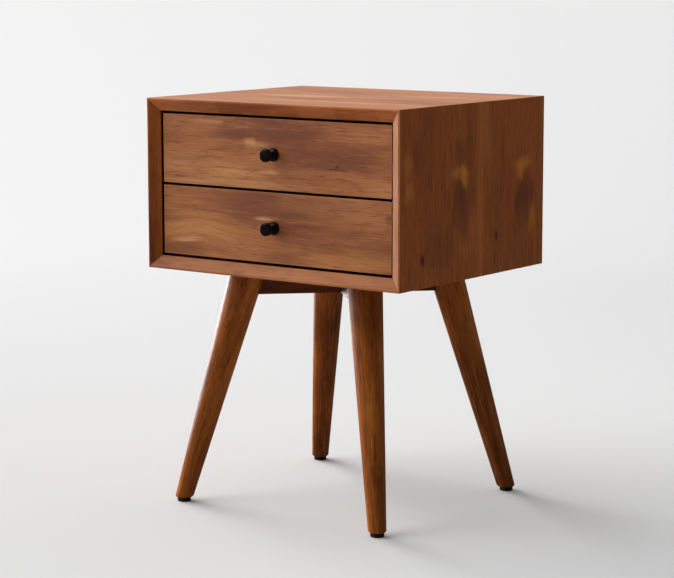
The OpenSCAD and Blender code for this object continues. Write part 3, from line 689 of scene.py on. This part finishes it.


# ---------------------------------------------------------------- drawers

# Figure of the fronts, listed mark by mark
FRONT_FIGURES = {
    "upper": {
        "marks": [
            (PLUM, 0.018, 0.023, 0.070, 0.015, 1.2, 0.6),
            (PLUM, 0.055, 0.004, 0.084, 0.025, 1.2, 0.35),
            (PLUM, -0.080, 0.024, 0.050, 0.010, 1.2, 0.5),
            (PLUM, 0.150, 0.018, 0.070, 0.011, 1.2, 0.35),
            (CREAM, -0.043, 0.013, 0.016, 0.012, 1.4, 0.7),
            (CREAM, -0.026, 0.009, 0.024, 0.006, 1.5, 0.6),
            (GOLD, -0.081, -0.030, 0.063, 0.010, 1.8, 0.5),
            (CREAM, -0.008, -0.026, 0.025, 0.004, 1.4, 0.6),
            (CREAM, -0.122, 0.043, 0.048, 0.004, 1.6, 0.4),
            (CREAM, -0.085, -0.045, 0.182, 0.010, 1.4, 0.5),
            (KNOT, 0.106, -0.0185, 0.0153, 0.0027, 0.9, 0.85),
            (KNOT, 0.113, -0.0135, 0.0051, 0.0051, 0.9, 0.6),
            (KNOT, 0.122, -0.0195, 0.0170, 0.0024, 1.1, 0.85),
        ],
        "swerves": [
            (0.113, -0.018, 0.024, 0.010, -0.5, 0.004),
            (-0.030, 0.014, 0.040, 0.020, -0.3, 0.004),
        ],
    },
    "lower": {
        "marks": [
            (PLUM, 0.000, 0.000, 0.400, 0.090, 0.2, 0.12),
            (PLUM, 0.060, 0.034, 0.210, 0.020, 1.2, 0.35),
            (PLUM, -0.172, -0.042, 0.070, 0.013, 1.2, 0.6),
            (PLUM, 0.011, -0.045, 0.059, 0.014, 1.2, 0.6),
            (PLUM, 0.203, 0.026, 0.011, 0.010, 1.0, 0.8),
            (GOLD, -0.130, 0.008, 0.070, 0.011, 1.6, 0.4),
            (GOLD, -0.120, -0.016, 0.140, 0.017, 1.6, 0.35),
            (CREAM, -0.018, 0.012, 0.025, 0.004, 1.4, 0.7),
            (CREAM, -0.163, -0.031, 0.045, 0.004, 1.4, 0.7),
            (GOLD, 0.120, -0.036, 0.140, 0.021, 1.6, 0.3),
        ],
        "swerves": [
            (-0.130, 0.000, 0.050, 0.026, -0.3, 0.009),
        ],
    },
}


# Shifts that give each front a figure of its own
FRONT_SEEDS = {"upper": 0.4, "lower": 5.9}


def make_drawer_front(name):
    """A board with eased edges: veneer outside and inside, and painted shade on its four edges."""
    node = f"{name}_drawer_front"
    middle, half = middle_of(node)
    mesh = bmesh.new()
    bmesh.ops.create_cube(mesh, size=2)
    bmesh.ops.transform(mesh, matrix=Matrix.Translation(middle) @ Matrix.Diagonal((*half, 1)),
                        verts=mesh.verts)
    round_edges(mesh, mesh.edges[:], FRONT_ARRIS)
    for face in mesh.faces:
        face.material_index = EDGE if abs(face.normal.y) < FRONT_ON else VENEER
    face = wood(f"{name}_front_veneer", FRONT_TONES, middle, FACING, seed=FRONT_SEEDS[name],
                half_size=(half.x, half.z, half.y), **FRONT_FIGURES[name])
    # The four edges take painted shade of the gaps
    edge = wood(f"{name}_front_edge", GAP_SHADE_TONES, middle, ALONG_X, seed=FRONT_SEEDS[name], gloss=0.6)
    finish_piece(f"{name}_front_wood", mesh, f"{name}_drawer", [node], [face, edge])


def arc(middle_r, middle_h, radius, start, end, steps=6):
    """Points of an arc in a turned profile, as (distance from the axis, height)."""
    angles = [math.radians(start + (end - start) * i / steps) for i in range(steps + 1)]
    return [(middle_r + radius * math.cos(a), middle_h + radius * math.sin(a)) for a in angles]


def turned(points, steps):
    """A solid turned about Z from a profile of (distance from the axis, height)."""
    mesh = bmesh.new()
    row = [mesh.verts.new((r, 0, h)) for r, h in points]
    edges = [mesh.edges.new(pair) for pair in zip(row, row[1:])]
    bmesh.ops.spin(mesh, geom=row + edges, cent=(0, 0, 0), axis=(0, 0, 1), angle=2 * math.pi,
                   steps=steps, use_merge=True, use_duplicate=False)
    bmesh.ops.remove_doubles(mesh, verts=mesh.verts, dist=TOUCHING)
    bmesh.ops.recalc_face_normals(mesh, faces=mesh.faces)
    return mesh


def make_knob(name, lacquer):
    """Foot disc, neck and a flat head with a rounded rim, turned in one piece."""
    node = f"{name}_knob"
    middle, half = middle_of(node)
    length, head_r = 2 * half.y, half.x
    neck_r, ease, edge = KNOB_NECK_D / 2, KNOB_FOOT_EASE, KNOB_ROUND
    under = length - KNOB_HEAD_T
    points = [(0, 0), (head_r, 0)]
    points += arc(head_r - ease, KNOB_FOOT_T - ease, ease, 0, 90)
    points += arc(neck_r + KNOB_FILLET, KNOB_FOOT_T + KNOB_FILLET, KNOB_FILLET, 270, 180)
    points += arc(neck_r + KNOB_FILLET, under - KNOB_FILLET, KNOB_FILLET, 180, 90)
    points += arc(head_r - KNOB_BACK_EASE, under + KNOB_BACK_EASE, KNOB_BACK_EASE, 270, 360)
    points += arc(head_r - edge, length - edge, edge, 0, 90, steps=10) + [(0, length)]
    mesh = turned(points, KNOB_SIDES)
    back = Matrix.Translation((middle.x, middle.y + half.y, middle.z))
    place = back @ Matrix.Rotation(math.pi / 2, 4, "X")
    bmesh.ops.transform(mesh, matrix=place, verts=mesh.verts)
    finish_piece(f"{name}_knob_turned", mesh, f"{name}_drawer", [node], [lacquer], SHARP)


def make_box(name, side_wood, end_wood):
    """The four finger-jointed walls of a drawer box."""
    for part in ("front", "back", "left", "right"):
        node = f"{name}_box_{part}"
        mesh = eased_copy(node, BOX_ARRIS, BOX_SHORTEST)
        material = side_wood if part in ("left", "right") else end_wood
        finish_piece(f"{node}_board", mesh, f"{name}_drawer", [node], [material])


# ---------------------------------------------------------------- legs and rails


# Shifts that give each leg a figure of its own
LEG_SEEDS = {(-1, -1): -2.7, (1, -1): 3.1, (-1, 1): 4.4, (1, 1): 5.3}


def make_leg(corner, sign):
    """A tapered round leg, cut level under the case and over its glide, its foot chamfered."""
    node = f"leg_{corner}"
    glide_middle = middle_of(f"glide_{corner}")[0]
    low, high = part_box(node)
    lean = Vector((-sign[0] * LEG_RUN[0], -sign[1] * LEG_RUN[1], high.z))
    base = Vector((glide_middle.x, glide_middle.y, low.z)) - lean * (low.z / high.z)
    length = lean.length
    taper = (LEG_TOP_D - LEG_FOOT_D) / 2 / length
    mesh = bmesh.new()
    bmesh.ops.create_cone(mesh, cap_ends=True, segments=LEG_SIDES, depth=length + 2 * LEG_OVER,
                          radius1=LEG_FOOT_D / 2 - taper * LEG_OVER,
                          radius2=LEG_TOP_D / 2 + taper * LEG_OVER)
    turn = lean.normalized().to_track_quat("Z", "Y")
    place = Matrix.Translation(base + lean / 2) @ turn.to_matrix().to_4x4()
    bmesh.ops.transform(mesh, matrix=place, verts=mesh.verts)
    cut(mesh, Vector((0, 0, high.z)), Vector((0, 0, 1)))
    cut(mesh, Vector((0, 0, low.z)), Vector((0, 0, -1)))
    rim = [e for e in mesh.edges if all(abs(v.co.z - low.z) < SAME for v in e.verts)]
    round_edges(mesh, rim, FOOT_CHAMFER)
    material = wood(f"{node}_grain", LEG_TONES, base + lean / 2,
                    (turn.to_matrix() @ UPRIGHT).to_euler(), seed=LEG_SEEDS[sign],
                    gloss=0.38, shine=0.15)
    finish_piece(f"{node}_turned", mesh, "case", [node], [material], SHARP)


def make_rail(node):
    """A CAD rail with eased edges, its grain along the diagonal."""
    mesh = eased_copy(node, RAIL_ARRIS, RAIL_SHORTEST)
    middle, half = middle_of(node)
    angle = math.atan2(half.y, half.x) * (1 if node.endswith("left") else -1)
    material = wood(f"{node}_grain", RAIL_TONES, middle, (0, 0, angle), seed=half.x)
    finish_piece(f"{node}_board", mesh, "case", [node], [material])


def make_glide(corner, plastic):
    """A disc with its lower edge eased and a recess for the nail head."""
    node = f"glide_{corner}"
    middle, half = middle_of(node)
    mesh = bmesh.new()
    bmesh.ops.create_cone(mesh, cap_ends=True, segments=GLIDE_SIDES, radius1=half.x, radius2=half.x,
                          depth=2 * half.z, matrix=Matrix.Translation(middle))
    floor = min(v.co.z for v in mesh.verts)
    rim = [e for e in mesh.edges if all(abs(v.co.z - floor) < SAME for v in e.verts)]
    round_edges(mesh, rim, GLIDE_EASE)
    foot = next(f for f in mesh.faces if f.normal.z < -0.99 and len(f.verts) > 8)
    bmesh.ops.inset_individual(mesh, faces=[foot], thickness=half.x - GLIDE_EASE - NAIL_HEAD_D / 2)
    raised = bmesh.ops.extrude_discrete_faces(mesh, faces=[foot])["faces"]
    bmesh.ops.translate(mesh, vec=(0, 0, NAIL_SINK), verts=raised[0].verts)
    finish_piece(f"{node}_disc", mesh, "case", [node], [plastic], SHARP)


# ---------------------------------------------------------------- CAD nodes that keep their shape


def dress(material, *nodes):
    """Gives CAD nodes a material in place of their plain one."""
    for node in nodes:
        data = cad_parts[node].data
        data.materials.clear()
        data.materials.append(material)


def dress_hardware():
    """Slides, balls, screws and nails."""
    zinc = steel("zinc_plate", srgb(196, 200, 204), srgb(150, 156, 162), 0.28, 0.42, (300, 8, 300))
    bright = steel("bright_steel", srgb(214, 216, 220), srgb(186, 190, 196), 0.12, 0.22, (200, 200, 200))
    screw = steel("screw_steel", srgb(190, 188, 180), srgb(140, 138, 132), 0.25, 0.4, (400, 400, 400))
    for name in DRAWERS:
        for side in ("left", "right"):
            dress(zinc, *(f"{name}_slide_{side}_{part}" for part in ("case", "middle", "drawer")))
        dress(bright, f"{name}_outer_ball_cages", f"{name}_inner_ball_cages")
        dress(screw, *(f"{name}_{part}_screws" for part in ("case_member", "drawer_member", "front")),
              f"{name}_knob_screw")
    dress(screw, "back_panel_screws", "base_screws", "leg_screws", "glide_nails")


def dress_boards():
    """The plywood: back panel, splines and box bottoms."""
    middle, half = middle_of("back_panel")
    back = wood("back_ply", PLY_TONES, middle, FACING, seed=7.7, lines=0.5, gloss=0.5,
                half_size=(half.x, half.z, half.y))
    dress(back, "back_panel")
    spline = wood("spline_ply", PLY_TONES, middle, ALONG_Y, seed=2.2, gloss=0.55)
    dress(spline, "corner_splines")
    for number, name in enumerate(DRAWERS):
        middle = middle_of(f"{name}_box_bottom")[0]
        bottom = wood(f"{name}_bottom_ply", PLY_TONES, middle, ALONG_X, seed=4.4 + number, gloss=0.5)
        dress(bottom, f"{name}_box_bottom")


# ---------------------------------------------------------------- studio

# Direction that each soft light comes from, its strength, and its spread in degrees
KEY_LIGHT = ((-0.850, -0.293, 0.44), 2.85, 85)
RIM_LIGHT = ((-0.950, 0.250, 0.18), 4.0, 40)
# Bright sides of the sky for even light and for gleams, and the sky's strength away from them and there
SKY_LEFT = (-0.87, 0.3, 0.35)
SKY_BEHIND = (-0.85, 0.5, 0)
SKY_LIGHT = (0.14, 0.66)
SKY_GLEAM = (0.04, 0.62)
# Floor: its radius, its tones near the camera and far off (paler far off by painted light), and the painted
# shade at the right
FLOOR_RADIUS = 60
FLOOR_NEAR = srgb(218, 218, 218)
FLOOR_FAR = srgb(235, 235, 235)
FLOOR_SHADE = (0.86, 0.86, 0.86, 1)
# Tones of the floor in the light that it throws back, and in gleams
FLOOR_THROWN = (0.3, 0.3, 0.3, 1)
FLOOR_GLEAM = (0.1, 0.1, 0.1, 1)
# Directions on the floor: towards the camera, to its right, and into the beam
TO_CAMERA = (0.59, -0.81, 0)
TO_RIGHT = (0.81, 0.59, 0)
TO_BEAM = (-0.951, 0.309, 0)
BEAM_STRENGTH = 15.0
# Place, turn in degrees and lens of the camera
CAMERA_PLACE = (1.9443, -2.6685, 0.8149)
CAMERA_TURN = (81.474, 0.045, 36.273)
CAMERA_LENS = 118.07
CAMERA_SENSOR = 36


def floor_tone(tree, place, distance):
    """The floor as it is seen: painted light makes it paler far off, and painted shade darkens it at the
    right.
    """
    nearer = along(tree, place, TO_CAMERA)
    side = calc(tree, "DIVIDE", along(tree, place, TO_RIGHT), calc(tree, "ADD", distance, 0.8))
    tone = blend(tree, between(tree, nearer, 0.5, -3.5), FLOOR_NEAR, FLOOR_FAR)
    shade = calc(tree, "MULTIPLY", between(tree, side, -0.42, 0.42), between(tree, distance, 0.3, 2.6))
    return blend(tree, shade, tone, FLOOR_SHADE, "MULTIPLY")


def floor_beam(tree, place, distance):
    """How much of the floor glows with the painted beam: none near the object, all of it from 4 m out."""
    heading = add(tree, "VectorMath", {0: place}, operation="NORMALIZE").outputs["Vector"]
    beam = calc(tree, "MULTIPLY", between(tree, along(tree, heading, TO_BEAM), 0.68, 0.83),
                between(tree, distance, 0.7, 1.3))
    return calc(tree, "MULTIPLY", beam, between(tree, distance, 2.0, 4.0, 0.2, 1.0))


def floor_material():
    """Matt and pale. It throws back less light than it shows, and the beam, a painted glow of the
    floor itself at the left and a little behind, is not seen itself: it only gleams in polished edges."""
    material, tree, shader = new_material("pale_floor")
    place = add(tree, "TexCoord").outputs["Object"]
    distance = add(tree, "VectorMath", {0: place}, operation="LENGTH").outputs["Value"]
    light = add(tree, "LightPath").outputs
    colour = blend(tree, light["Is Glossy Ray"], FLOOR_THROWN, FLOOR_GLEAM)
    colour = blend(tree, light["Is Camera Ray"], colour, floor_tone(tree, place, distance))
    tree.links.new(colour, shader.inputs["Base Color"])
    beam = calc(tree, "MULTIPLY", floor_beam(tree, place, distance), light["Is Glossy Ray"])
    tree.links.new(blend(tree, beam, (0, 0, 0, 1), (1, 1, 1, 1)), shader.inputs["Emission Color"])
    shader.inputs["Emission Strength"].default_value = BEAM_STRENGTH
    shader.inputs["Roughness"].default_value = 0.9
    shader.inputs["Specular IOR Level"].default_value = 0.0
    return material


def make_floor():
    """A round floor that runs out to the horizon."""
    mesh = bmesh.new()
    bmesh.ops.create_circle(mesh, cap_ends=True, segments=96, radius=FLOOR_RADIUS)
    data = bpy.data.meshes.new("floor")
    mesh.to_mesh(data)
    mesh.free()
    floor = bpy.data.objects.new("floor", data)
    bpy.context.scene.collection.objects.link(floor)
    data.materials.append(floor_material())


def make_sun(name, towards, strength, spread, gleams):
    """Even light from one side, soft over the given angle in degrees. With gleams False it lights
    surfaces and is not mirrored in them."""
    light = bpy.data.lights.new(name, "SUN")
    light.energy = strength
    light.angle = math.radians(spread)
    lamp = bpy.data.objects.new(name, light)
    lamp.rotation_euler = Vector(towards).to_track_quat("Z", "Y").to_euler()
    lamp.visible_glossy = gleams
    bpy.context.scene.collection.objects.link(lamp)


def make_world():
    """Soft light all round, darker on the right; gleams come mostly from the left and behind."""
    world = bpy.data.worlds.new("studio")
    world.use_nodes = True
    bpy.context.scene.world = world
    tree = world.node_tree
    light = add(tree, "LightPath").outputs
    direction = add(tree, "TexCoord").outputs["Generated"]
    soft = between(tree, along(tree, direction, SKY_LEFT), -0.6, 0.8, *SKY_LIGHT)
    gleam = between(tree, along(tree, direction, SKY_BEHIND), 0.25, 0.8, *SKY_GLEAM)
    strength = add(tree, "Mix", {0: light["Is Glossy Ray"], 2: soft, 3: gleam}).outputs[0]
    tree.links.new(strength, tree.nodes["Background"].inputs["Strength"])
    tree.nodes["Background"].inputs["Color"].default_value = (1, 1, 1, 1)


def make_studio():
    """A wide soft light from the left, a lower one from behind it, and a pale floor."""
    bpy.context.scene.view_settings.view_transform = "Standard"
    make_world()
    make_sun("key_softbox", *KEY_LIGHT, gleams=True)
    make_sun("rim_softbox", *RIM_LIGHT, gleams=False)
    make_floor()


def make_camera():
    """Looks at the front and the right-hand side from a little above."""
    data = bpy.data.cameras.new("camera")
    data.lens = CAMERA_LENS
    data.sensor_width = CAMERA_SENSOR
    camera = bpy.data.objects.new("camera", data)
    camera.location = CAMERA_PLACE
    camera.rotation_euler = Euler([math.radians(angle) for angle in CAMERA_TURN])
    bpy.context.scene.collection.objects.link(camera)
    bpy.context.scene.camera = camera


def main():
    """The studio, then the case, the drawers, the base, and the materials of the CAD pieces."""
    make_camera()
    make_studio()
    make_case()
    lacquer = black_lacquer()
    plastic = black_plastic()
    middle = middle_of("upper_box_bottom")[0]
    side_wood = wood("box_side_wood", BOX_TONES, middle, ALONG_Y, seed=6.1, gloss=0.48)
    end_wood = wood("box_end_wood", BOX_TONES, middle, ALONG_X, seed=8.6, gloss=0.48)
    for name in DRAWERS:
        make_drawer_front(name)
        make_knob(name, lacquer)
        make_box(name, side_wood, end_wood)
    for corner, sign in CORNERS.items():
        make_leg(corner, sign)
        make_glide(corner, plastic)
    make_rail("diagonal_rail_left")
    make_rail("diagonal_rail_right")
    dress_boards()
    dress_hardware()


main()
